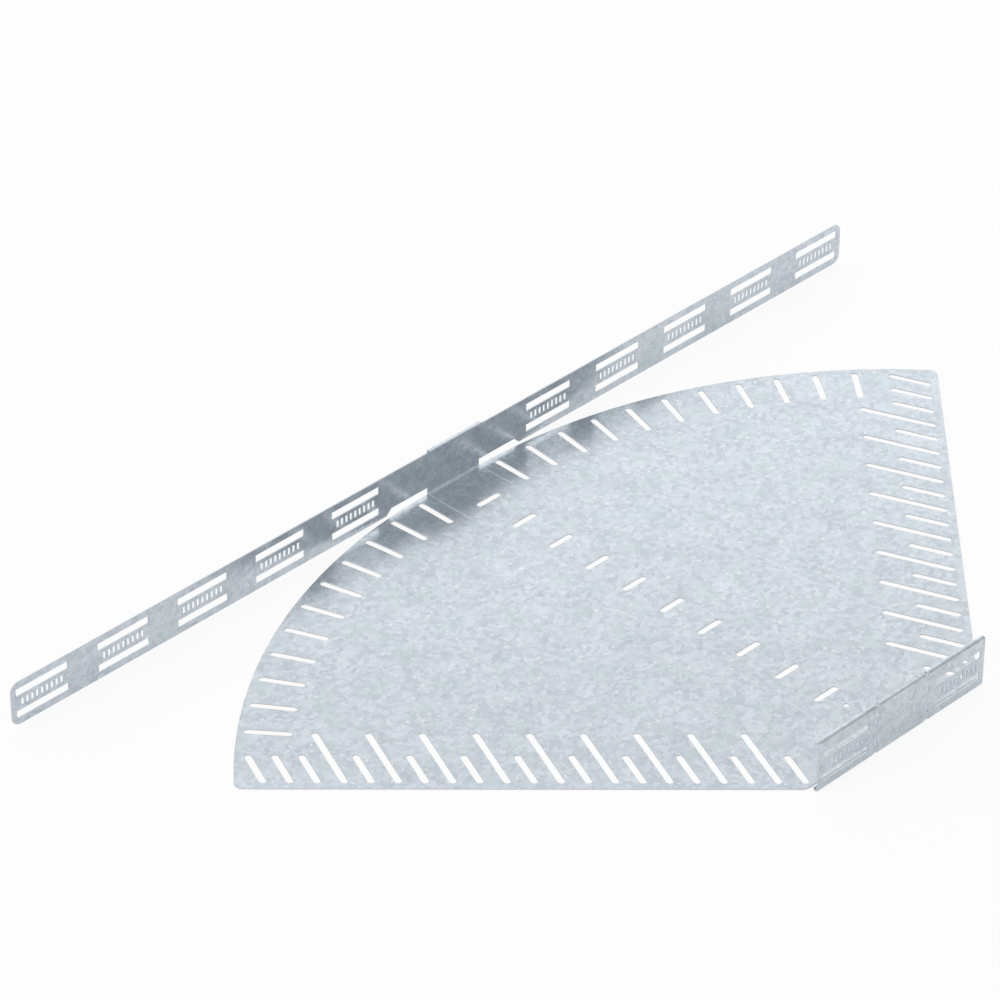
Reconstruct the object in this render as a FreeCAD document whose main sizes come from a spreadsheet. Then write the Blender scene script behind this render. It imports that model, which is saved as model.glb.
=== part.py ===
import FreeCAD, Part
import math
import os
import re

import Sketcher

# Cable tray bend: one punched and folded galvanised sheet, in millimetres.
# X runs along the two side rails, Y from the inner rail to the outer rail, Z up.
# The origin lies on the underside, in the middle of the part.

# Driving dimensions and the places worked out from them
SIZES = [
    # Sheet and folds
    ("gauge", "1.5"),
    ("fold_inside", "1"),
    ("fold_outside", "=fold_inside + gauge"),
    ("rail_spread", "594.5"),
    ("outer_face", "=rail_spread / 2"),
    ("inner_face", "=0 - rail_spread / 2"),
    # Flat plate: a centre strip between two sectors
    ("strip_half", "36"),
    ("sector_overlap", "1"),
    ("sector_side", "=strip_half - sector_overlap"),
    ("centre_offset", "8.25"),
    ("sector_centre", "=inner_face - centre_offset"),
    ("sector_radius", "=outer_face - gauge - sector_centre"),
    ("edge_angle", "45"),
    ("edge_reach", "48.3"),
    ("edge_run", "=sqrt(sector_radius ^ 2 - edge_reach ^ 2)"),
    ("slit_width", "7.75"),
    ("plate_near", "=inner_face + gauge + slit_width"),
    ("fold_margin", "1"),
    ("fold_run", "=fold_outside + fold_margin"),
    ("heel_rise", "=plate_near - sector_centre + edge_reach * cos(edge_angle * 1 deg)"),
    ("heel_run", "=heel_rise / sin(edge_angle * 1 deg)"),
    ("strip_near", "=inner_face + fold_run"),
    ("strip_far", "=outer_face - fold_run"),
    ("tip_round", "9"),
    ("heel_round", "12"),
    # Scored bend lines beside the centre strip
    ("score_width", "1.2"),
    ("score_depth", "0.25"),
    ("score_margin", "1"),
    # Outer rail
    ("outer_wing_end", "578"),
    ("outer_wing_foot", "2"),
    ("outer_wing_top", "50.25"),
    ("outer_wing_round", "10"),
    ("outer_top", "55"),
    ("outer_rim", "5.5"),
    ("window_top", "8.75"),
    ("window_end", "86.25"),
    # Inner rail
    ("inner_wing_end", "116.5"),
    ("inner_top", "56"),
    ("inner_rim", "6.25"),
    ("lip_depth", "3.5"),
    ("foot_flange", "5.5"),
    ("notch_width", "4"),
    ("relief_before", "2"),
    ("relief_after", "3"),
    ("relief_start", "=strip_half - relief_before"),
    ("relief_end", "=strip_half + relief_after"),
    ("relief_top", "2.75"),
    ("bend_slit_width", "3"),
    ("low_slit_foot", "9.5"),
    ("low_slit_length", "12"),
    ("high_slit_foot", "33.5"),
    ("high_slit_length", "8"),
    # Slots in the rails
    ("rail_slot_length", "63.5"),
    ("rail_slot_width", "8.5"),
    ("rail_slot_rise", "25"),
    ("rail_slot_mid", "=(outer_wing_foot + outer_wing_top) / 2"),
    ("row_slot_width", "3.2"),
    ("row_slot_height", "8"),
    ("row_slot_pitch", "6"),
    ("row_slot_count", "9"),
    ("outer_group_first", "135"),
    ("outer_group_pitch", "101.25"),
    ("outer_group_margin", "35"),
    ("outer_group_room", "=outer_wing_end - outer_group_first - outer_group_margin"),
    ("outer_group_count", "=floor(outer_group_room / outer_group_pitch) + 1"),
    ("inner_group_lead", "37.5"),
    ("inner_group_place", "=inner_wing_end - inner_group_lead"),
    # Slots in the plate; each half-round end is drawn with a number of short flats
    ("slot_width", "7"),
    ("slot_flats", "10"),
    ("edge_slot_pitch", "25"),
    ("edge_slot_lean", "22.5"),
    ("edge_slot_lead", "25.8"),
    ("edge_slot_inset", "11.3"),
    ("short_slot_length", "46"),
    ("long_slot_length", "82"),
    ("edge_slot_spare", "10"),
    ("edge_slot_room", "=edge_run - edge_slot_lead - heel_run + edge_slot_spare"),
    ("edge_slot_count", "=floor(edge_slot_room / edge_slot_pitch) + 1"),
    ("edge_short_run", "3"),
    ("arc_slot_length", "46"),
    ("arc_slot_inset", "6.5"),
    ("arc_slot_side", "18.8"),
    ("arc_slot_pitch", "41.5"),
    ("arc_slot_step", "=arc_slot_pitch / sector_radius * 180 / pi"),
    ("arc_slot_end", "3.7"),
    ("arc_slot_count", "=floor((edge_angle - arc_slot_end) / arc_slot_step) + 1"),
    ("centre_slot_length", "31"),
    ("centre_slot_lead", "51.25"),
    ("centre_slot_first", "=outer_face - centre_slot_lead"),
    ("centre_slot_pitch", "50"),
    ("centre_slot_spare", "65"),
    ("centre_slot_room", "=centre_slot_first - strip_near - centre_slot_spare"),
    ("centre_slot_count", "=floor(centre_slot_room / centre_slot_pitch) + 1"),
    ("pilot_diameter", "6"),
    ("pilot_lead", "=centre_slot_pitch / 2"),
    # Travel of the punches through the sheet
    ("punch_stroke", "=4 * gauge"),
]

# Name of the node, of its file and of the one body
NODE = "cable_tray_bend"
# Each size's name as an object outside the sheet writes it
BOUND_NAMES = {name: "sizes." + name for name, content in SIZES}


def write_sheet(doc):
    """Put every size into the sheet under its own name."""
    sheet = doc.addObject("Spreadsheet::Sheet", "sizes")
    for row, (name, content) in enumerate(SIZES, start=1):
        sheet.set("A%d" % row, name)
        sheet.set("B%d" % row, content)
        sheet.setAlias("B%d" % row, name)
    doc.recompute()
    return sheet


class Folder:
    """Builds the features of one body from the sizes in the sheet."""

    def __init__(self, doc, sheet):
        self.doc = doc
        self.sheet = sheet
        self.body = doc.addObject("PartDesign::Body", "folded_sheet")

    def size(self, text):
        """Number that an expression of size names stands for."""
        return float(self.sheet.evalExpression(text))

    def bound(self, text):
        """The same expression as another object has to write it."""
        return re.sub(r"[a-z_]+", lambda word: BOUND_NAMES.get(word[0], word[0]), text)

    def sketch(self, label, role, places=None, turn=None):
        """New sketch on an origin plane, moved by bound places and turned about its normal."""
        sketch = self.body.newObject("Sketcher::SketchObject", label)
        planes = self.body.Origin.OriginFeatures
        plane = [feature for feature in planes if feature.Role == role][0]
        sketch.AttachmentSupport = (plane, "")
        sketch.MapMode = "FlatFace"
        for axis, place in (places or {}).items():
            sketch.setExpression("AttachmentOffset.Base.%s" % axis, self.bound(place))
        if turn:
            sketch.setExpression("AttachmentOffset.Rotation.Angle", self.bound(turn))
        self.doc.recompute()
        return sketch

    def bind(self, sketch, constraint, text):
        """Add a constraint and tie its value to an expression."""
        index = sketch.addConstraint(constraint)
        sketch.setExpression("Constraints[%d]" % index, self.bound(text))

    def squared_profile(self, sketch, sides, rounds=None):
        """Closed outline of level and upright sides; rounds gives a radius after a side."""
        rounds = rounds or {}
        count = len(sides)
        values = [self.size(text) for axis, text in sides]
        corners = []
        for index in range(count):
            here, there = index, (index + 1) % count
            level = values[here] if sides[here][0] == "y" else values[there]
            reach = values[here] if sides[here][0] == "x" else values[there]
            corners.append(FreeCAD.Vector(reach, level, 0))
        radii = {index: self.size(text) for index, text in rounds.items()}
        lines = []
        for index in range(count):
            start, end = corners[index - 1], corners[index]
            along = (end - start).normalize()
            before = (index - 1) % count
            head = start + along * radii.get(before, 0)
            tail = end - along * radii.get(index, 0)
            lines.append(sketch.addGeometry(Part.LineSegment(head, tail), False))
        for index, (axis, text) in enumerate(sides):
            if axis == "x":
                sketch.addConstraint(Sketcher.Constraint("Vertical", lines[index]))
                place = Sketcher.Constraint("DistanceX", -1, 1, lines[index], 1, values[index])
            else:
                sketch.addConstraint(Sketcher.Constraint("Horizontal", lines[index]))
                place = Sketcher.Constraint("DistanceY", -1, 1, lines[index], 1, values[index])
            self.bind(sketch, place, text)
        for index in range(count):
            here, there = lines[index], lines[(index + 1) % count]
            if index not in radii:
                sketch.addConstraint(Sketcher.Constraint("Coincident", here, 2, there, 1))
                continue
            arc, first, last = self.corner_arc(corners, index, radii[index])
            turn = sketch.addGeometry(arc, False)
            sketch.addConstraint(Sketcher.Constraint("Tangent", here, 2, turn, first))
            sketch.addConstraint(Sketcher.Constraint("Tangent", there, 1, turn, last))
            limit = Sketcher.Constraint("Radius", turn, radii[index])
            self.bind(sketch, limit, rounds[index])

    def corner_arc(self, corners, index, radius):
        """Arc that rounds one right-angled corner, with the ends that meet its two sides."""
        corner = corners[index]
        into = (corner - corners[index - 1]).normalize()
        out = (corners[(index + 1) % len(corners)] - corner).normalize()
        start = corner - into * radius
        end = corner + out * radius
        middle = start + out * radius
        left_turn = into.cross(out).z > 0
        first, last = (start, end) if left_turn else (end, start)
        angles = [math.atan2(point.y - middle.y, point.x - middle.x) for point in (first, last)]
        circle = Part.Circle(middle, FreeCAD.Vector(0, 0, 1), radius)
        arc = Part.ArcOfCircle(circle, angles[0], angles[1])
        return (arc, 1, 2) if left_turn else (arc, 2, 1)

    def polygon(self, sketch, points):
        """Closed outline of straight sides with every corner bound."""
        places = [FreeCAD.Vector(self.size(x), self.size(y), 0) for x, y in points]
        count = len(points)
        lines = []
        for index in range(count):
            side = Part.LineSegment(places[index], places[(index + 1) % count])
            lines.append(sketch.addGeometry(side, False))
        for index, (x, y) in enumerate(points):
            after = lines[index]
            before = lines[index - 1]
            sketch.addConstraint(Sketcher.Constraint("Coincident", before, 2, after, 1))
            across = Sketcher.Constraint("DistanceX", -1, 1, after, 1, places[index].x)
            up = Sketcher.Constraint("DistanceY", -1, 1, after, 1, places[index].y)
            self.bind(sketch, across, x)
            self.bind(sketch, up, y)

    def pad(self, label, sketch, length):
        """Pad that runs along the sketch's normal."""
        pad = self.body.newObject("PartDesign::Pad", label)
        pad.Profile = sketch
        pad.Refine = False
        pad.setExpression("Length", self.bound(length))
        self.doc.recompute()
        return pad

    def pocket(self, label, sketch, depth, both_ways=True):
        """Pocket of a depth on each side of its sketch, or against the normal alone."""
        before = self.body.Shape.Volume
        pocket = self.body.newObject("PartDesign::Pocket", label)
        pocket.Profile = sketch
        pocket.Refine = False
        if both_ways:
            pocket.SideType = "Symmetric"
            pocket.setExpression("Length", self.bound("2 * ( %s )" % depth))
        else:
            pocket.setExpression("Length", self.bound(depth))
        self.doc.recompute()
        if not self.body.Shape.Volume < before:
            raise RuntimeError("%s cuts nothing" % label)
        return pocket

    def fillet(self, label, places, radius):
        """Fillet of the edges whose middles lie nearest to the given places."""
        base = self.body.Tip
        names = []
        for place in places:
            point = Part.Vertex(FreeCAD.Vector(*place))
            reaches = [edge.distToShape(point)[0] for edge in base.Shape.Edges]
            names.append("Edge%d" % (reaches.index(min(reaches)) + 1))
        fillet = self.body.newObject("PartDesign::Fillet", label)
        fillet.Refine = False
        fillet.Base = (base, names)
        fillet.setExpression("Radius", self.bound(radius))
        self.doc.recompute()
        return fillet


def add_plate(fold):
    """Right half of the flat plate: half the centre strip and one sector."""
    sketch = fold.sketch("plate_outline", "XY_Plane")
    reach = fold.size("edge_reach")
    radius = fold.size("sector_radius")
    angle = math.radians(fold.size("edge_angle"))
    centre = FreeCAD.Vector(fold.size("sector_side"), fold.size("sector_centre"), 0)
    along = FreeCAD.Vector(math.cos(angle), math.sin(angle), 0)
    outward = FreeCAD.Vector(along.y, -along.x, 0)
    tip = centre + outward * reach + along * math.sqrt(radius ** 2 - reach ** 2)
    strip = fold.size("strip_half")
    near = fold.size("plate_near")
    far = fold.size("strip_far")
    low = fold.size("strip_near")
    back_off = (tip.y - near) / along.y
    heel = tip - along * back_off
    side = strip - centre.x
    crown = centre + FreeCAD.Vector(side, math.sqrt(radius ** 2 - side ** 2), 0)
    spots = [
        FreeCAD.Vector(0, low, 0),
        FreeCAD.Vector(strip, low, 0),
        FreeCAD.Vector(strip, near, 0),
        heel,
        tip,
        crown,
        FreeCAD.Vector(strip, far, 0),
        FreeCAD.Vector(0, far, 0),
    ]
    arc_side = 4
    ids = []
    for index, spot in enumerate(spots):
        after = spots[(index + 1) % len(spots)]
        if index == arc_side:
            circle = Part.Circle(centre, FreeCAD.Vector(0, 0, 1), radius)
            start = math.atan2(spot.y - centre.y, spot.x - centre.x)
            end = math.atan2(after.y - centre.y, after.x - centre.x)
            ids.append(sketch.addGeometry(Part.ArcOfCircle(circle, start, end), False))
        else:
            ids.append(sketch.addGeometry(Part.LineSegment(spot, after), False))
    for index, here in enumerate(ids):
        there = ids[(index + 1) % len(ids)]
        sketch.addConstraint(Sketcher.Constraint("Coincident", here, 2, there, 1))
    base, strip_side, near_side, edge, arc, crown_side, far_side, axis = ids
    for level in (base, near_side, far_side):
        sketch.addConstraint(Sketcher.Constraint("Horizontal", level))
    for upright in (strip_side, crown_side, axis):
        sketch.addConstraint(Sketcher.Constraint("Vertical", upright))
    fold.bind(sketch, Sketcher.Constraint("DistanceY", -1, 1, base, 1, low), "strip_near")
    fold.bind(sketch, Sketcher.Constraint("DistanceX", -1, 1, strip_side, 1, strip), "strip_half")
    fold.bind(sketch, Sketcher.Constraint("DistanceY", -1, 1, near_side, 1, near), "plate_near")
    fold.bind(sketch, Sketcher.Constraint("DistanceX", -1, 1, crown_side, 1, strip), "strip_half")
    fold.bind(sketch, Sketcher.Constraint("DistanceY", -1, 1, far_side, 1, far), "strip_far")
    sketch.addConstraint(Sketcher.Constraint("PointOnObject", axis, 1, -2))
    fold.bind(sketch, Sketcher.Constraint("DistanceX", -1, 1, arc, 3, centre.x), "sector_side")
    fold.bind(sketch, Sketcher.Constraint("DistanceY", -1, 1, arc, 3, centre.y), "sector_centre")
    fold.bind(sketch, Sketcher.Constraint("Radius", arc, radius), "sector_radius")
    fold.bind(sketch, Sketcher.Constraint("Distance", arc, 3, edge, reach), "edge_reach")
    fold.bind(sketch, Sketcher.Constraint("Angle", edge, angle), "edge_angle * 1 deg")
    fold.pad("plate", sketch, "gauge")
    middle = fold.size("gauge / 2")
    fold.fillet("tip_corner", [(tip.x, tip.y, middle)], "tip_round")
    fold.fillet("heel_corner", [(heel.x, heel.y, middle)], "heel_round")


def add_inner_rail(fold):
    """Right half of the inner rail: folded centre wall with a rim, and a channel-shaped wing."""
    wall = fold.sketch("inner_wall_profile", "YZ_Plane")
    fold.squared_profile(
        wall,
        [
            ("x", "inner_face"),
            ("y", "inner_top"),
            ("x", "inner_face + inner_rim"),
            ("y", "inner_top - gauge"),
            ("x", "inner_face + gauge"),
            ("y", "gauge"),
            ("x", "strip_near"),
            ("y", "0"),
        ],
        {0: "fold_outside", 3: "fold_inside", 4: "fold_inside", 7: "fold_outside"},
    )
    fold.pad("inner_wall", wall, "strip_half")
    wing = fold.sketch("inner_wing_profile", "YZ_Plane", {"z": "strip_half"})
    fold.squared_profile(
        wing,
        [
            ("x", "inner_face"),
            ("y", "inner_top"),
            ("x", "inner_face + inner_rim"),
            ("y", "inner_top - lip_depth"),
            ("x", "inner_face + inner_rim - gauge"),
            ("y", "inner_top - gauge"),
            ("x", "inner_face + gauge"),
            ("y", "gauge"),
            ("x", "inner_face + foot_flange - gauge"),
            ("y", "lip_depth"),
            ("x", "inner_face + foot_flange"),
            ("y", "0"),
        ],
        {
            0: "fold_outside",
            1: "fold_outside",
            4: "fold_inside",
            5: "fold_inside",
            6: "fold_inside",
            7: "fold_inside",
            10: "fold_outside",
            11: "fold_outside",
        },
    )
    fold.pad("inner_wing", wing, "inner_wing_end - strip_half")


def add_outer_rail(fold):
    """Right half of the outer rail: folded centre wall with a rim, and a plain flat wing."""
    wall = fold.sketch("outer_wall_profile", "YZ_Plane")
    fold.squared_profile(
        wall,
        [
            ("x", "outer_face"),
            ("y", "0"),
            ("x", "strip_far"),
            ("y", "gauge"),
            ("x", "outer_face - gauge"),
            ("y", "outer_top - gauge"),
            ("x", "outer_face - outer_rim"),
            ("y", "outer_top"),
        ],
        {0: "fold_outside", 3: "fold_inside", 4: "fold_inside", 7: "fold_outside"},
    )
    fold.pad("outer_wall", wall, "strip_half")
    wing = fold.sketch("outer_wing_outline", "XZ_Plane", {"z": "0 - outer_face"})
    fold.squared_profile(
        wing,
        [
            ("x", "strip_half"),
            ("y", "outer_wing_foot"),
            ("x", "outer_wing_end"),
            ("y", "outer_wing_top"),
        ],
        {1: "outer_wing_round", 2: "outer_wing_round"},
    )
    fold.pad("outer_wing", wing, "gauge")
    window = fold.sketch("window_outline", "XZ_Plane", {"z": "0 - outer_face"})
    fold.polygon(
        window,
        [
            ("strip_half", "outer_wing_foot - fold_inside"),
            ("window_end + window_top - outer_wing_foot + fold_inside", "outer_wing_foot - fold_inside"),
            ("window_end", "window_top"),
            ("strip_half", "window_top"),
        ],
    )
    fold.pocket("window", window, "gauge")


def cut_reliefs(fold):
    """Notches and slits beside the centre strip that let the wings be bent round."""
    notch = fold.sketch("rim_notch_outline", "XZ_Plane", {"z": "0 - inner_face"})
    fold.squared_profile(
        notch,
        [
            ("x", "strip_half - notch_width"),
            ("y", "inner_top - fold_outside"),
            ("x", "strip_half"),
            ("y", "inner_top + gauge"),
        ],
    )
    fold.pocket("rim_notch", notch, "inner_rim + gauge")
    relief = fold.sketch("foot_relief_outline", "XZ_Plane", {"z": "0 - inner_face"})
    fold.squared_profile(
        relief,
        [
            ("x", "relief_start"),
            ("y", "0 - gauge"),
            ("x", "relief_end"),
            ("y", "relief_top"),
        ],
    )
    fold.pocket("foot_relief", relief, "foot_flange + fold_inside")
    for level in ("low", "high"):
        slit = fold.sketch("%s_slit_outline" % level, "XZ_Plane", {"z": "0 - inner_face"})
        fold.squared_profile(
            slit,
            [
                ("x", "strip_half - bend_slit_width / 2"),
                ("y", "%s_slit_foot" % level),
                ("x", "strip_half + bend_slit_width / 2"),
                ("y", "%s_slit_foot + %s_slit_length" % (level, level)),
            ],
        )
        fold.pocket("%s_slit" % level, slit, "punch_stroke / 2")


def score_bend_line(fold):
    """Shallow V-shaped scored line where the sector meets the centre strip."""
    sketch = fold.sketch("score_profile", "XZ_Plane", {"z": "0 - plate_near - score_margin"})
    fold.polygon(
        sketch,
        [
            ("strip_half", "gauge - score_depth"),
            ("strip_half + score_width", "gauge + score_depth"),
            ("strip_half - score_width", "gauge + score_depth"),
        ],
    )
    run = "strip_far - plate_near - 2 * score_margin"
    fold.pocket("score", sketch, run, both_ways=False)


def mirror_half(fold):
    """Left half as the mirror image of everything built so far."""
    mirror = fold.body.newObject("PartDesign::Mirrored", "left_half")
    mirror.TransformMode = "Whole shape"
    planes = fold.body.Origin.OriginFeatures
    plane = [feature for feature in planes if feature.Role == "YZ_Plane"][0]
    mirror.MirrorPlane = (plane, [""])
    fold.body.Tip = mirror
    fold.doc.recompute()


class Punch:
    """Makes the tools that punch the slots, and sets them out from the sizes in the sheet."""

    def __init__(self, doc, fold):
        self.doc = doc
        self.fold = fold
        self.size = fold.size
        self.sets = []

    def bind(self, item, sizes):
        """Tie an object's properties to expressions."""
        for name, text in sizes.items():
            item.setExpression(name, self.fold.bound(text))

    def box(self, label, length, height):
        """Square-ended slot tool for a rail, about its own middle."""
        tool = self.doc.addObject("Part::Box", label)
        self.bind(tool, {"Length": length, "Width": "punch_stroke", "Height": height})
        corner = {"x": length, "y": "punch_stroke", "z": height}
        moves = {"Placement.Base." + axis: "0 - %s / 2" % text for axis, text in corner.items()}
        self.bind(tool, moves)
        self.doc.recompute()
        return tool

    def round_slot(self, label, length):
        """Slot tool for the plate, along X about its own middle; each end is a half round."""
        sketch = self.doc.addObject("Sketcher::SketchObject", label + "_outline")
        corners = []
        flats = round(self.size("slot_flats"))
        for side, first in (("", -90), ("0 - ", 90)):
            for index in range(flats + 1):
                turn = "(%d + %d * 180 / slot_flats) * 1 deg" % (first, index)
                centre = "%s(%s - slot_width) / 2" % (side, length)
                across = "%s + slot_width / 2 * cos(%s)" % (centre, turn)
                corners.append((across, "slot_width / 2 * sin(%s)" % turn))
        self.fold.polygon(sketch, corners)
        tool = self.doc.addObject("Part::Extrusion", label)
        tool.Base = sketch
        tool.DirMode = "Normal"
        tool.Solid = True
        self.bind(tool, {"LengthFwd": "punch_stroke / 2", "LengthRev": "gauge"})
        self.doc.recompute()
        return tool

    def round_hole(self, label, diameter):
        """Round hole tool for the plate."""
        tool = self.doc.addObject("Part::Cylinder", label)
        self.bind(tool, {"Radius": diameter + " / 2", "Height": "punch_stroke"})
        self.bind(tool, {"Placement.Base.z": "0 - gauge"})
        self.doc.recompute()
        return tool

    def set_out(self, label, tool, places):
        """Copies of a tool at places, each a point and a turn in degrees about Z."""
        upright = FreeCAD.Vector(0, 0, 1)
        copies = []
        for place, turn in places:
            copy = tool.Shape.copy()
            move = FreeCAD.Placement(place, FreeCAD.Rotation(upright, turn))
            copy.Placement = move.multiply(copy.Placement)
            copies.append(copy)
        group = self.doc.addObject("Part::Feature", label)
        group.Shape = Part.makeCompound(copies)
        self.sets.append(group)

    def cut(self, base):
        """Take every tool out of the folded sheet."""
        tools = self.doc.addObject("Part::Compound", "slots")
        tools.Links = self.sets
        cut = self.doc.addObject("Part::Cut", NODE)
        cut.Base = base
        cut.Tool = tools
        cut.Refine = False
        cut.Label = NODE
        self.doc.recompute()
        return cut


def both_sides(places):
    """Places on the right half, with their mirror images on the left."""
    mirrored = [(FreeCAD.Vector(-place.x, place.y, place.z), 180 - turn) for place, turn in places]
    return places + mirrored


def punch_rails(punch):
    """Groups of slots in the wings: a row of small ones between two long ones."""
    size = punch.size
    long_slot = punch.box("rail_long_slot", "rail_slot_length", "rail_slot_width")
    row_slot = punch.box("rail_row_slot", "row_slot_width", "row_slot_height")
    middle = size("rail_slot_mid")
    half_rise = size("rail_slot_rise / 2")
    last = size("row_slot_count - 1")
    steps = [(index - last / 2) * size("row_slot_pitch") for index in range(round(last) + 1)]
    first = size("outer_group_first")
    groups = range(round(size("outer_group_count")))
    rails = {
        "outer": [first + index * size("outer_group_pitch") for index in groups],
        "inner": [size("inner_group_place")],
    }
    for rail, columns in rails.items():
        face = size(rail + "_face")
        long_places = []
        row_places = []
        for column in columns:
            for level in (middle - half_rise, middle + half_rise):
                long_places.append((FreeCAD.Vector(column, face, level), 0))
            for step in steps:
                row_places.append((FreeCAD.Vector(column + step, face, middle), 0))
        punch.set_out(rail + "_long_slots", long_slot, both_sides(long_places))
        punch.set_out(rail + "_row_slots", row_slot, both_sides(row_places))


def punch_plate(punch):
    """Slots along the straight edges, inside the arc and across the centre strip, and the hole."""
    size = punch.size
    centre = FreeCAD.Vector(size("sector_side"), size("sector_centre"), 0)
    upright = FreeCAD.Vector(0, 0, 1)
    short_slot = punch.round_slot("short_slot", "short_slot_length")
    long_slot = punch.round_slot("long_slot", "long_slot_length")
    arc_slot = punch.round_slot("arc_slot", "arc_slot_length")
    cross_slot = punch.round_slot("cross_slot", "centre_slot_length")

    along_edge = FreeCAD.Rotation(upright, size("edge_angle"))
    heading = size("90 - edge_slot_lean")
    lean = FreeCAD.Rotation(upright, heading)
    places = {"short": [], "long": []}
    count = round(size("edge_slot_count"))
    for index in range(count):
        beyond = index - size("edge_short_run")
        is_long = beyond >= 0 and beyond % 2 == 0 and index < count - 1
        kind = "long" if is_long else "short"
        foot = FreeCAD.Vector(
            size("edge_run - edge_slot_lead") - index * size("edge_slot_pitch"),
            size("edge_slot_inset - edge_reach"),
            0,
        )
        reach = size("(%s_slot_length - slot_width) / 2" % kind)
        middle = foot + lean.multVec(FreeCAD.Vector(reach, 0, 0))
        turn = size("edge_angle") + heading
        places[kind].append((centre + along_edge.multVec(middle), turn))
    punch.set_out("edge_short_slots", short_slot, both_sides(places["short"]))
    punch.set_out("edge_long_slots", long_slot, both_sides(places["long"]))

    inside = FreeCAD.Vector(
        size("arc_slot_side"),
        size("sector_radius - arc_slot_inset - arc_slot_length / 2"),
        0,
    )
    fan = []
    for index in range(round(size("arc_slot_count"))):
        turn = -index * size("arc_slot_step")
        place = centre + FreeCAD.Rotation(upright, turn).multVec(inside)
        fan.append((place, 90 + turn))
    punch.set_out("arc_slots", arc_slot, both_sides(fan))

    first = size("centre_slot_first")
    count = round(size("centre_slot_count"))
    pitch = size("centre_slot_pitch")
    row = [(FreeCAD.Vector(0, first - index * pitch, 0), 0) for index in range(count)]
    punch.set_out("cross_slots", cross_slot, row)
    hole = punch.round_hole("small_hole_tool", "pilot_diameter")
    beyond = (count - 1) * pitch + size("pilot_lead")
    punch.set_out("small_hole", hole, [(FreeCAD.Vector(0, first - beyond, 0), 0)])


def check_document(doc, part):
    """Stop on any failed object, and on a shape that is not one valid solid."""
    for item in doc.Objects:
        if "Invalid" in item.State or "Error" in item.State:
            raise RuntimeError("%s failed: %s" % (item.Name, item.State))
    shape = part.Shape
    if shape.isNull() or not shape.isValid() or len(shape.Solids) != 1:
        raise RuntimeError("%s is not one valid solid" % part.Label)


def main():
    """Build the bend and write its file."""
    os.makedirs("parts", exist_ok=True)
    doc = FreeCAD.newDocument("tray_bend")
    sheet = write_sheet(doc)
    fold = Folder(doc, sheet)
    add_plate(fold)
    add_inner_rail(fold)
    add_outer_rail(fold)
    cut_reliefs(fold)
    score_bend_line(fold)
    mirror_half(fold)
    punch = Punch(doc, fold)
    punch_rails(punch)
    punch_plate(punch)
    part = punch.cut(fold.body)
    check_document(doc, part)
    solid = part.Shape.Solids[0]
    solid.exportStep("parts/%s.step" % part.Label)
    box = solid.BoundBox
    print("volume %.0f, faces %d" % (solid.Volume, len(solid.Faces)))
    print("box %.2f by %.2f by %.2f" % (box.XLength, box.YLength, box.ZLength))


main()
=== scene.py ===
"""A cable tray bend of galvanised sheet steel, lying on a pale studio floor."""

import logging
import math
from dataclasses import dataclass
from enum import Enum, IntEnum

import bmesh
import bpy
import numpy as np
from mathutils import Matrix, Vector
from mathutils.bvhtree import BVHTree


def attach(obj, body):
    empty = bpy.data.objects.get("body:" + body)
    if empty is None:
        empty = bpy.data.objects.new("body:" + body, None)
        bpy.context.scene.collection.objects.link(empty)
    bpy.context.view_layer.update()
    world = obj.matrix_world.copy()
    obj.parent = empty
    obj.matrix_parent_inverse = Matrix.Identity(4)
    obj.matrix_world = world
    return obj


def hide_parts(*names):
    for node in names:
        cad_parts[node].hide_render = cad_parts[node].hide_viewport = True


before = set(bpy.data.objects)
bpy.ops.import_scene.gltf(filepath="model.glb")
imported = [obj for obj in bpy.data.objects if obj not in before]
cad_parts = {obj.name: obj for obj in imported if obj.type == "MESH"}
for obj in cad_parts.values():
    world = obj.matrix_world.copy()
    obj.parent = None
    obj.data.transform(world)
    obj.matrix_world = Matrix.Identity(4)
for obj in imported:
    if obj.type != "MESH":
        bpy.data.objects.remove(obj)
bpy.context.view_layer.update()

LOG = logging.getLogger("cable_tray_bend")
MM = 0.001
WHITE_HEX = "#FFFFFF"


class FaceKind(IntEnum):
    """The sheet's kinds of face, each by the number of the finish that it takes."""

    ROLLED = 0
    CUT = 1
    SCORED = 2


class Rays(Enum):
    """The rays that see the studio's plain white, by their names on a Light Path node."""

    CAMERA = "Is Camera Ray"
    GLOSSY = "Is Glossy Ray"


def linear_colour(hex_code: str) -> tuple[float, float, float, float]:
    """Turn an sRGB hex value into the linear colour that shaders take, by the sRGB standard's curve.

    Args:
        hex_code: the colour as "#RRGGBB".

    Returns:
        Red, green and blue in linear light, and an alpha of 1.
    """
    channels = [int(hex_code[i:i + 2], 16) / 255 for i in (1, 3, 5)]
    linear = [c / 12.92 if c <= 0.04045 else ((c + 0.055) / 1.055) ** 2.4 for c in channels]
    return (*linear, 1.0)


def pattern_scale(size_mm: float) -> float:
    """Turn a pattern's real size in millimetres into the scale of its texture node."""
    return 1 / (size_mm * MM)


def add_node(
    tree: bpy.types.NodeTree,
    kind: str,
    settings: dict[str, object] | None = None,
    **inputs: object,
) -> bpy.types.Node:
    """Add a node with its settings, and set or link its inputs.

    Args:
        tree: the node tree that gets the node.
        kind: the node's Blender type, such as "ShaderNodeTexNoise".
        settings: the node's own properties by name.
        **inputs: each input by its name with underscores for spaces, or by its number as "i0". A
            value is set on the socket, and an output socket is linked to it.

    Returns:
        The new node.
    """
    node = tree.nodes.new(kind)
    for name, value in (settings or {}).items():
        setattr(node, name, value)
    for name, value in inputs.items():
        key = int(name[1:]) if name[0] == "i" and name[1:].isdigit() else name.replace("_", " ")
        socket = node.inputs[key]
        if isinstance(value, bpy.types.NodeSocket):
            tree.links.new(value, socket)
        else:
            socket.default_value = value
    return node


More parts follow.
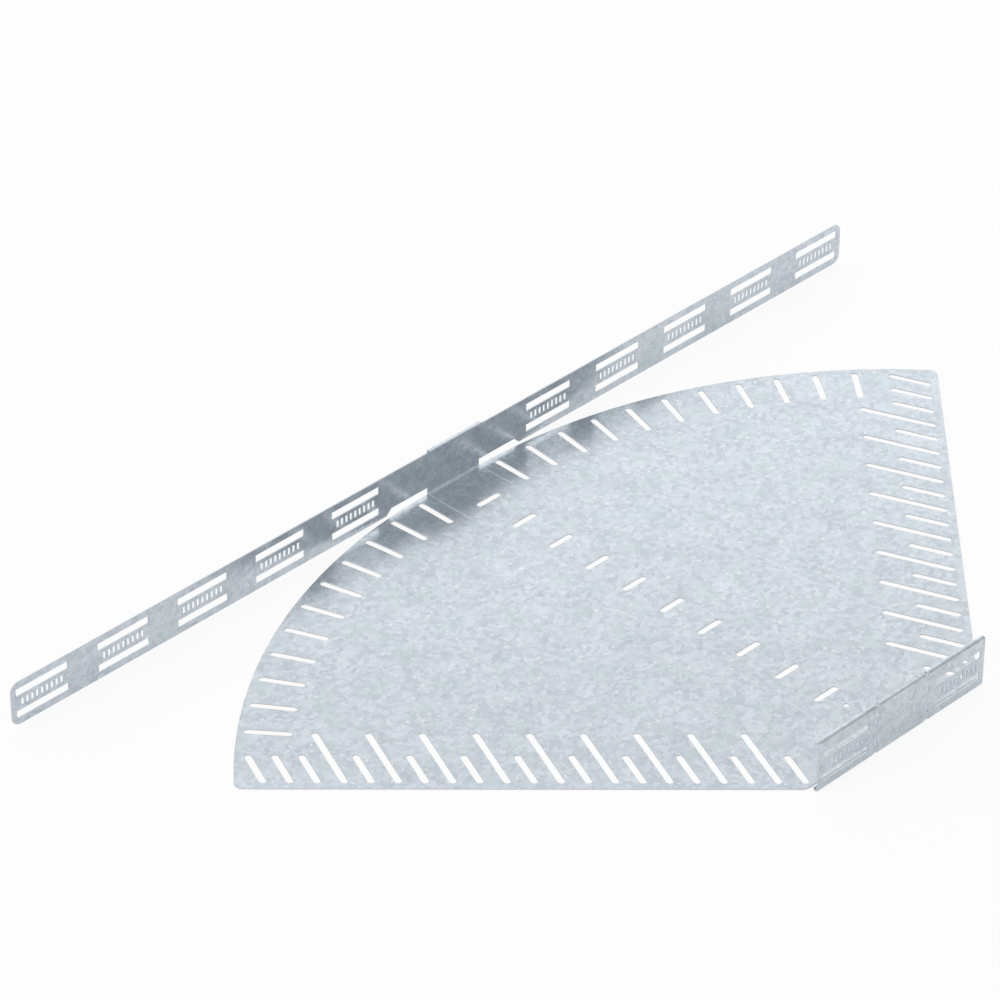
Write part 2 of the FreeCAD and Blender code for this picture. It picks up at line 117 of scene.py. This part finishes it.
def new_material(name: str) -> tuple[bpy.types.Material, bpy.types.NodeTree]:
    """Make an empty node material.

    Args:
        name: the material's name.

    Returns:
        The material and its node tree.
    """
    material = bpy.data.materials.new(name)
    material.use_nodes = True
    material.node_tree.nodes.clear()
    return material, material.node_tree


def new_object(name: str, data: bpy.types.ID) -> bpy.types.Object:
    """Make an object at the origin and link it to the scene.

    Args:
        name: the object's name.
        data: its mesh, lamp or camera.

    Returns:
        The object.
    """
    thing = bpy.data.objects.new(name, data)
    bpy.context.scene.collection.objects.link(thing)
    return thing


@dataclass(frozen=True)
class GalvanisedSteel:
    """Pre-galvanised sheet steel: bright zinc that froze in small spangles on the rolled sheet.

    The zinc gives a cool light grey, a half-gloss that mirrors bright and dark surroundings softly,
    and a fine mottle, because each spangle lies at its own slight tilt and takes its own tone. A few
    small spots are painted lighter into the zinc's colour as glints, a painted highlight standing in
    for single spangles that catch the light, and the grey drifts a little towards green and back.

    Each size in millimetres is the real pattern's. A share says how far a pattern moves the tone,
    and the stops are the tones at which the dark, middle and light greys are reached.
    """

    name: str = "galvanised_steel_spangled"
    dark_hex: str = "#B7BFC8"
    mid_hex: str = "#CAD1D9"
    light_hex: str = "#D9E0E8"
    stops: tuple[float, float, float] = (0.38, 0.68, 0.98)
    roughness: float = 0.27
    roughness_swing: float = 0.08
    tone_base: float = 0.08
    spangle_mm: float = 5.0
    spangle_share: float = 0.34
    fleck_mm: float = 2.2
    fleck_share: float = 0.42
    fleck_fall: float = 0.6
    cloud_mm: float = 45.0
    cloud_share: float = 0.45
    cloud_fall: float = 0.55
    fine_octaves: float = 3.0
    soft_octaves: float = 2.0
    # Painted glints: small spots painted lighter into the zinc's colour, standing in for spangles
    # that catch the light.
    painted_glint_hex: str = "#E1E8EE"
    painted_glint_mm: float = 2.4
    painted_glint_core: float = 0.25
    painted_glint_spacing_mm: float = 13.0
    drift_hex: str = "#C3D3D5"
    drift_mm: float = 28.0
    drift_share: float = 0.5
    drift_range: tuple[float, float] = (0.5, 0.75)
    colour_middle: tuple[float, float, float] = (0.5, 0.5, 0.5)
    lean: float = 0.02
    grain: float = 0.14
    grain_mm: float = 0.05

    def bent_place(
        self, tree: bpy.types.NodeTree, place: bpy.types.NodeSocket
    ) -> bpy.types.NodeSocket:
        """Shift the coordinates unevenly, so that the spangles get ragged outlines.

        Args:
            tree: the finish's node tree.
            place: the object's coordinates.

        Returns:
            The shifted coordinates.
        """
        wander = add_node(
            tree,
            "ShaderNodeTexNoise",
            Vector=place,
            Scale=pattern_scale(self.spangle_mm),
            Detail=self.soft_octaves,
        )
        bent = add_node(
            tree,
            "ShaderNodeVectorMath",
            {"operation": "MULTIPLY_ADD"},
            i0=wander.outputs["Color"],
            i1=(self.spangle_mm * MM,) * 3,
            i2=place,
        )
        return bent.outputs["Vector"]

    def zinc_colour(
        self,
        tree: bpy.types.NodeTree,
        place: bpy.types.NodeSocket,
        bent: bpy.types.NodeSocket,
        facet: bpy.types.NodeSocket,
        fleck: bpy.types.NodeSocket,
    ) -> bpy.types.NodeSocket:
        """Mottle the grey by spangle, fleck and cloud, then add the drift and the painted glints.

        Args:
            tree: the finish's node tree.
            place: the object's coordinates.
            bent: the same, shifted unevenly.
            facet: each spangle's own tone.
            fleck: the fine unevenness.

        Returns:
            The zinc's colour.
        """
        cloud = add_node(
            tree,
            "ShaderNodeTexNoise",
            Vector=place,
            Scale=pattern_scale(self.cloud_mm),
            Detail=self.fine_octaves,
            Roughness=self.cloud_fall,
        )
        tone = self.tone_base
        for pattern, share in (
            (facet, self.spangle_share),
            (fleck, self.fleck_share),
            (cloud.outputs["Fac"], self.cloud_share),
        ):
            tone = add_node(
                tree, "ShaderNodeMath", {"operation": "MULTIPLY_ADD"}, i0=pattern, i1=share, i2=tone
            ).outputs["Value"]
        greys = add_node(tree, "ShaderNodeValToRGB", i0=tone)
        dark_stop, mid_stop, light_stop = self.stops
        stops = greys.color_ramp.elements
        stops[0].position, stops[0].color = dark_stop, linear_colour(self.dark_hex)
        stops[1].position, stops[1].color = light_stop, linear_colour(self.light_hex)
        stops.new(mid_stop).color = linear_colour(self.mid_hex)
        patches = add_node(
            tree,
            "ShaderNodeTexNoise",
            Vector=place,
            Scale=pattern_scale(self.drift_mm),
            Detail=self.soft_octaves,
        )
        drift_start, drift_end = self.drift_range
        drift = add_node(
            tree,
            "ShaderNodeMapRange",
            Value=patches.outputs["Fac"],
            i1=drift_start,
            i2=drift_end,
            i3=0.0,
            i4=self.drift_share,
        )
        # Painted glints: lighter spots mixed into the colour as a painted highlight of single
        # spangles.
        painted_glint_cells = add_node(
            tree, "ShaderNodeTexVoronoi", Vector=bent, Scale=pattern_scale(self.painted_glint_spacing_mm)
        )
        painted_glint_reach = self.painted_glint_mm / self.painted_glint_spacing_mm
        painted_glint = add_node(
            tree,
            "ShaderNodeMapRange",
            Value=painted_glint_cells.outputs["Distance"],
            i1=painted_glint_reach,
            i2=painted_glint_reach * self.painted_glint_core,
        )
        # A colour Mix node has its factor at input 0, its colours at 6 and 7, its result at output 2.
        colour = greys.outputs["Color"]
        for amount, hex_code in (
            (drift.outputs["Result"], self.drift_hex),
            (painted_glint.outputs["Result"], self.painted_glint_hex),
        ):
            colour = add_node(
                tree,
                "ShaderNodeMix",
                {"data_type": "RGBA"},
                i0=amount,
                i6=colour,
                i7=linear_colour(hex_code),
            ).outputs[2]
        return colour

    def spangle_normal(
        self, tree: bpy.types.NodeTree, spangle: bpy.types.NodeSocket, fleck: bpy.types.NodeSocket
    ) -> bpy.types.NodeSocket:
        """Lean each spangle its own slight way, and roughen it a little by the fleck.

        Args:
            tree: the finish's node tree.
            spangle: each spangle's own random colour.
            fleck: the fine unevenness.

        Returns:
            The surface's direction.
        """
        lean = add_node(
            tree, "ShaderNodeVectorMath", {"operation": "SUBTRACT"}, i0=spangle, i1=self.colour_middle
        )
        leaning = add_node(
            tree,
            "ShaderNodeVectorMath",
            {"operation": "MULTIPLY_ADD"},
            i0=lean.outputs["Vector"],
            i1=(self.lean,) * 3,
            i2=add_node(tree, "ShaderNodeNewGeometry").outputs["Normal"],
        )
        facet = add_node(
            tree, "ShaderNodeVectorMath", {"operation": "NORMALIZE"}, i0=leaning.outputs["Vector"]
        )
        bump = add_node(
            tree,
            "ShaderNodeBump",
            Strength=self.grain,
            Distance=self.grain_mm * MM,
            Height=fleck,
            Normal=facet.outputs["Vector"],
        )
        return bump.outputs["Normal"]

    def make(self) -> bpy.types.Material:
        """Build the finish's node tree.

        Returns:
            The material.
        """
        material, tree = new_material(self.name)
        place = add_node(tree, "ShaderNodeTexCoord").outputs["Object"]
        bent = self.bent_place(tree, place)
        spangle = add_node(
            tree, "ShaderNodeTexVoronoi", Vector=bent, Scale=pattern_scale(self.spangle_mm)
        ).outputs["Color"]
        fleck = add_node(
            tree,
            "ShaderNodeTexNoise",
            Vector=place,
            Scale=pattern_scale(self.fleck_mm),
            Detail=self.fine_octaves,
            Roughness=self.fleck_fall,
        ).outputs["Fac"]
        facet = add_node(tree, "ShaderNodeSeparateColor", Color=spangle)
        rough = add_node(
            tree,
            "ShaderNodeMapRange",
            Value=facet.outputs["Green"],
            i3=self.roughness - self.roughness_swing / 2,
            i4=self.roughness + self.roughness_swing / 2,
        )
        shader = add_node(
            tree,
            "ShaderNodeBsdfPrincipled",
            Base_Color=self.zinc_colour(tree, place, bent, facet.outputs["Red"], fleck),
            Metallic=1.0,
            Roughness=rough.outputs["Result"],
            Normal=self.spangle_normal(tree, spangle, fleck),
        )
        add_node(tree, "ShaderNodeOutputMaterial", Surface=shader.outputs["BSDF"])
        return material


@dataclass(frozen=True)
class ToolWorkedSteel:
    """Steel that a tool has worked: the sheared edges and the scored lines of the sheet.

    Punch and shear lay the edges bare, and the scoring tool rubs the zinc. Both leave a more matt
    surface than the rolled faces have, with a fine unevenness of tone.
    """

    name: str
    light_hex: str
    dark_hex: str
    metallic: float = 0.9
    roughness: float = 0.5
    mottle_mm: float = 1.5
    mottle_octaves: float = 2.0
    mottle_fall: float = 0.6
    dark_stop: float = 0.3
    light_stop: float = 0.7

    def make(self) -> bpy.types.Material:
        """Build the finish's node tree.

        Returns:
            The material.
        """
        material, tree = new_material(self.name)
        mottle = add_node(
            tree,
            "ShaderNodeTexNoise",
            Vector=add_node(tree, "ShaderNodeTexCoord").outputs["Object"],
            Scale=pattern_scale(self.mottle_mm),
            Detail=self.mottle_octaves,
            Roughness=self.mottle_fall,
        )
        greys = add_node(tree, "ShaderNodeValToRGB", i0=mottle.outputs["Fac"])
        stops = greys.color_ramp.elements
        stops[0].position, stops[0].color = self.dark_stop, linear_colour(self.dark_hex)
        stops[1].position, stops[1].color = self.light_stop, linear_colour(self.light_hex)
        shader = add_node(
            tree,
            "ShaderNodeBsdfPrincipled",
            Base_Color=greys.outputs["Color"],
            Metallic=self.metallic,
            Roughness=self.roughness,
        )
        add_node(tree, "ShaderNodeOutputMaterial", Surface=shader.outputs["BSDF"])
        return material


@dataclass
class FoldedSheet:
    """The bend itself: one sheet, punched and folded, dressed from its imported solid.

    The solid keeps its shape. Its loose triangles are joined, the faces that punch, shear and
    scoring tool left are told from the rolled ones, and the sheared edges lose their sharpness.
    """

    finishes: dict[FaceKind, bpy.types.Material]
    name: str = "folded_sheet"
    node: str = "cable_tray_bend"
    body: str = "root"
    slot: str = "galvanised_steel"
    gauge: float = 1.5 * MM
    gauge_slack: float = 0.4 * MM
    probe_start: float = 0.01 * MM
    probe_reach: float = 20 * MM
    weld: float = 0.002 * MM
    flat_deg: float = 0.5
    fold_step_deg: float = 20.0
    score_place: float = 36.0 * MM
    score_reach: float = 0.65 * MM
    edge_deg: float = 40.0
    edge_round: float = 0.2 * MM
    edge_segments: int = 2

    def joined_solid(self) -> bmesh.types.BMesh:
        """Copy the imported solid's triangles and join them.

        Returns:
            The closed surface.
        """
        surface = bmesh.new()
        surface.from_mesh(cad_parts[self.node].data)
        bmesh.ops.remove_doubles(surface, verts=surface.verts, dist=self.weld)
        surface.normal_update()
        return surface

    def cut_faces(self, surface: bmesh.types.BMesh) -> np.ndarray:
        """Find the faces that punch and shear left.

        A rolled face has the sheet's other side one gauge behind it. Behind a cut face the metal
        goes on for longer, so the depth straight behind each face's middle tells them apart.

        Args:
            surface: the closed surface.

        Returns:
            True or false for each face in turn.
        """
        tree = BVHTree.FromBMesh(surface)
        hits = [
            tree.ray_cast(
                face.calc_center_median() - face.normal * self.probe_start,
                -face.normal,
                self.probe_reach,
            )
            for face in surface.faces
        ]
        depths = np.array([self.probe_reach if depth is None else depth for *_, depth in hits])
        return np.abs(depths - self.gauge) > self.gauge_slack

    def scored_faces(self, surface: bmesh.types.BMesh) -> np.ndarray:
        """Find the faces of the two scored lines in the bottom's upper side.

        They are the triangles that lie wholly within the groove's reach to each side of its middle.

        Args:
            surface: the closed surface.

        Returns:
            True or false for each face in turn.
        """
        corners = np.array([[corner.co for corner in face.verts] for face in surface.faces])
        across, height = np.abs(corners[..., 0]), corners[..., 2]
        in_reach = np.abs(across - self.score_place) < self.score_reach
        in_upper_side = (height > self.gauge / 2) & (height < self.gauge + self.weld)
        return (in_reach & in_upper_side).all(axis=1)

    def mark_sheared_edges(self, surface: bmesh.types.BMesh) -> int:
        """Give full bevel weight to the edges between a rolled face and a cut one.

        Args:
            surface: the closed surface with the kinds of its faces told.

        Returns:
            The number of marked edges.
        """
        weight = surface.edges.layers.float.new("bevel_weight_edge")
        limit = math.radians(self.edge_deg)
        marked = [
            edge
            for edge in surface.edges
            if sorted(face.material_index for face in edge.link_faces)
            == [FaceKind.ROLLED, FaceKind.CUT]
            and edge.calc_face_angle_signed() > limit
        ]
        for edge in marked:
            edge[weight] = 1.0
        return len(marked)

    def dressed_mesh(self) -> bpy.types.Mesh:
        """Make the sheet's mesh with its finishes and with its sheared edges marked.

        Returns:
            The mesh.
        """
        surface = self.joined_solid()
        kinds = np.select(
            [self.scored_faces(surface), self.cut_faces(surface)],
            [FaceKind.SCORED, FaceKind.CUT],
            FaceKind.ROLLED,
        )
        for face, kind in zip(surface.faces, kinds.tolist()):
            face.material_index = kind
        bmesh.ops.dissolve_limit(
            surface,
            angle_limit=math.radians(self.flat_deg),
            verts=surface.verts,
            edges=surface.edges,
            delimit={"MATERIAL"},
        )
        edges = self.mark_sheared_edges(surface)
        mesh = bpy.data.meshes.new(self.name)
        surface.to_mesh(mesh)
        surface.free()
        for kind in FaceKind:
            mesh.materials.append(self.finishes[kind])
            LOG.info("%s: %d %s triangles", self.name, (kinds == kind).sum(), kind.name.lower())
        LOG.info("%s: %d sheared edges", self.name, edges)
        mesh.shade_smooth()
        mesh.set_sharp_from_angle(angle=math.radians(self.fold_step_deg))
        return mesh

    def build(self) -> bpy.types.Object:
        """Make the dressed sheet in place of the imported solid.

        Returns:
            The sheet's object.
        """
        sheet = new_object(self.name, self.dressed_mesh())
        soften = sheet.modifiers.new("sheared_edges", "BEVEL")
        soften.limit_method = "WEIGHT"
        soften.width = self.edge_round
        soften.segments = self.edge_segments
        soften.use_clamp_overlap = False
        shade = sheet.modifiers.new("flat_faces_stay_flat", "WEIGHTED_NORMAL")
        shade.keep_sharp = True
        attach(sheet, self.body)
        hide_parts(self.node)
        return sheet


@dataclass
class StudioFloor:
    """A wide pale floor that keeps a faint shadow and fades to plain white away from the object.

    A white share is the part of plain white in what the rays see near the object. It grows to
    the whole between the start and the end of the fade.
    """

    name: str = "studio_floor"
    half_side: float = 14.0
    cells: int = 28
    paint_hex: str = "#FAFAFA"
    paint_roughness: float = 0.9
    paint_specular: float = 0.1
    white_share_camera: float = 0.86
    white_share_glossy: float = 0.38
    fade_start: float = 1.2
    fade_end: float = 5.0

    def surface(self) -> bpy.types.Material:
        """Make the floor's finish: matt pale paint, part of it plain white to camera and metal.

        Returns:
            The material.
        """
        material, tree = new_material("studio_floor_matt_paint")
        paint = add_node(
            tree,
            "ShaderNodeBsdfPrincipled",
            Base_Color=linear_colour(self.paint_hex),
            Roughness=self.paint_roughness,
            Specular_IOR_Level=self.paint_specular,
        )
        white = add_node(tree, "ShaderNodeEmission", Color=linear_colour(WHITE_HEX), Strength=1.0)
        rays = add_node(tree, "ShaderNodeLightPath")
        place = add_node(tree, "ShaderNodeTexCoord").outputs["Object"]
        reach = add_node(tree, "ShaderNodeVectorMath", {"operation": "LENGTH"}, i0=place)
        share = 0.0
        for seen_by, near_share in (
            (Rays.CAMERA, self.white_share_camera),
            (Rays.GLOSSY, self.white_share_glossy),
        ):
            fade = add_node(
                tree,
                "ShaderNodeMapRange",
                {"interpolation_type": "SMOOTHSTEP"},
                Value=reach.outputs["Value"],
                i1=self.fade_start,
                i2=self.fade_end,
                i3=near_share,
                i4=1.0,
            )
            seen = add_node(
                tree,
                "ShaderNodeMath",
                {"operation": "MULTIPLY"},
                i0=rays.outputs[seen_by.value],
                i1=fade.outputs["Result"],
            )
            share = add_node(
                tree, "ShaderNodeMath", {"operation": "MAXIMUM"}, i0=share, i1=seen.outputs["Value"]
            ).outputs["Value"]
        mix = add_node(
            tree,
            "ShaderNodeMixShader",
            i0=share,
            i1=paint.outputs["BSDF"],
            i2=white.outputs["Emission"],
        )
        add_node(tree, "ShaderNodeOutputMaterial", Surface=mix.outputs["Shader"])
        return material

    def build(self) -> bpy.types.Object:
        """Make the floor: an even square grid of points at height 0.

        Returns:
            The floor's object.
        """
        row = self.cells + 1
        line = np.linspace(-self.half_side, self.half_side, row)
        x, y = np.meshgrid(line, line, indexing="ij")
        points = np.stack([x, y, np.zeros_like(x)], axis=-1).reshape(-1, 3)
        corner = (np.arange(self.cells)[:, None] * row + np.arange(self.cells)).ravel()
        faces = np.stack([corner, corner + row, corner + row + 1, corner + 1], axis=-1)
        mesh = bpy.data.meshes.new(self.name)
        mesh.from_pydata(points.tolist(), [], faces.tolist())
        mesh.update()
        mesh.materials.append(self.surface())
        floor = new_object(self.name, mesh)
        return floor


@dataclass(frozen=True)
class StudioLamp:
    """A broad lamp that faces the object and stays out of the picture. Its sides are in metres."""

    name: str
    place: tuple[float, float, float]
    sides: tuple[float, float]
    watts: float

    def build(self) -> bpy.types.Object:
        """Hang the lamp.

        Returns:
            The lamp's object.
        """
        data = bpy.data.lights.new(self.name, "AREA")
        data.shape = "RECTANGLE"
        data.size, data.size_y = self.sides
        data.energy = self.watts
        lamp = new_object(self.name, data)
        lamp.location = self.place
        lamp.rotation_mode = "QUATERNION"
        lamp.rotation_quaternion = (-Vector(self.place)).to_track_quat("-Z", "Y")
        lamp.visible_camera = False
        return lamp


@dataclass(frozen=True)
class StudioRoom:
    """A white room with one softly darker side, lit by one lamp overhead and two low behind.

    The plate, the walls and the rims mirror the dark side, which is what makes the dark bands on
    them. It is darkest within the core angle of its middle and fades out at the wide angle.
    """

    name: str = "studio_room"
    room_hex: str = "#FEFEFE"
    dark_hex: str = "#CFCECC"
    dark_side: tuple[float, float, float] = (0.58, -0.36, 0.73)
    wide_deg: float = 56.0
    core_deg: float = 22.0
    lamps: tuple[StudioLamp, ...] = (
        StudioLamp("lamp_over_left", place=(-2.2, 1.6, 3.6), sides=(2.0, 2.0), watts=8.0),
        StudioLamp("lamp_low_behind", place=(1.5, 2.1, 0.55), sides=(3.0, 0.8), watts=5.5),
        StudioLamp("lamp_behind", place=(1.25, 1.25, 0.95), sides=(3.0, 0.7), watts=1.2),
    )

    def build(self) -> bpy.types.World:
        """Make the room's light and its lamps. To the camera itself the room is plain white.

        Returns:
            The world.
        """
        world = bpy.data.worlds.new(self.name)
        world.use_nodes = True
        tree = world.node_tree
        tree.nodes.clear()
        toward = add_node(
            tree,
            "ShaderNodeVectorMath",
            {"operation": "DOT_PRODUCT"},
            i0=add_node(tree, "ShaderNodeTexCoord").outputs["Generated"],
            i1=tuple(Vector(self.dark_side).normalized()),
        )
        tint = add_node(tree, "ShaderNodeValToRGB", i0=toward.outputs["Value"])
        tint.color_ramp.interpolation = "EASE"
        stops = tint.color_ramp.elements
        stops[0].position = math.cos(math.radians(self.wide_deg))
        stops[0].color = linear_colour(self.room_hex)
        stops[1].position = math.cos(math.radians(self.core_deg))
        stops[1].color = linear_colour(self.dark_hex)
        room = add_node(tree, "ShaderNodeBackground", Color=tint.outputs["Color"], Strength=1.0)
        white = add_node(tree, "ShaderNodeBackground", Color=linear_colour(WHITE_HEX), Strength=1.0)
        mix = add_node(
            tree,
            "ShaderNodeMixShader",
            i0=add_node(tree, "ShaderNodeLightPath").outputs[Rays.CAMERA.value],
            i1=room.outputs["Background"],
            i2=white.outputs["Background"],
        )
        add_node(tree, "ShaderNodeOutputWorld", Surface=mix.outputs["Shader"])
        bpy.context.scene.world = world
        for lamp in self.lamps:
            lamp.build()
        return world


@dataclass(frozen=True)
class ViewPoint:
    """The camera at the place and angle of the photograph's."""

    name: str = "photograph_view"
    place: tuple[float, float, float] = (-2.89407, -2.63819, 2.86224)
    turn_deg: tuple[float, float, float] = (54.9956, -0.1889, -45.1233)
    focal_mm: float = 180.62
    sensor_mm: float = 36.0
    nearest: float = 0.1
    farthest: float = 60.0

    def build(self) -> bpy.types.Object:
        """Make the camera and give it to the scene.

        Returns:
            The camera's object.
        """
        data = bpy.data.cameras.new(self.name)
        data.lens = self.focal_mm
        data.sensor_width = self.sensor_mm
        data.clip_start, data.clip_end = self.nearest, self.farthest
        camera = new_object(self.name, data)
        camera.location = self.place
        camera.rotation_mode = "XYZ"
        camera.rotation_euler = tuple(math.radians(angle) for angle in self.turn_deg)
        bpy.context.scene.camera = camera
        return camera


def main() -> None:
    """Build the view, the stage and the bend in order."""
    logging.basicConfig(level=logging.INFO, format="%(message)s")
    bpy.context.scene.view_settings.view_transform = "Standard"
    for part in (ViewPoint(), StudioFloor(), StudioRoom()):
        LOG.info("%s is in place", part.build().name)
    finishes = {
        FaceKind.ROLLED: GalvanisedSteel(),
        FaceKind.CUT: ToolWorkedSteel("steel_sheared_edge", light_hex="#DAE0E6", dark_hex="#C6CCD3"),
        FaceKind.SCORED: ToolWorkedSteel(
            "steel_scored_line", light_hex="#E6EDF5", dark_hex="#D4DCE4", metallic=0.6
        ),
    }
    sheet = FoldedSheet({kind: finish.make() for kind, finish in finishes.items()}).build()
    LOG.info("%s is dressed in %s", sheet.name, [finish.name for finish in sheet.data.materials])


if __name__ == "__main__":
    main()
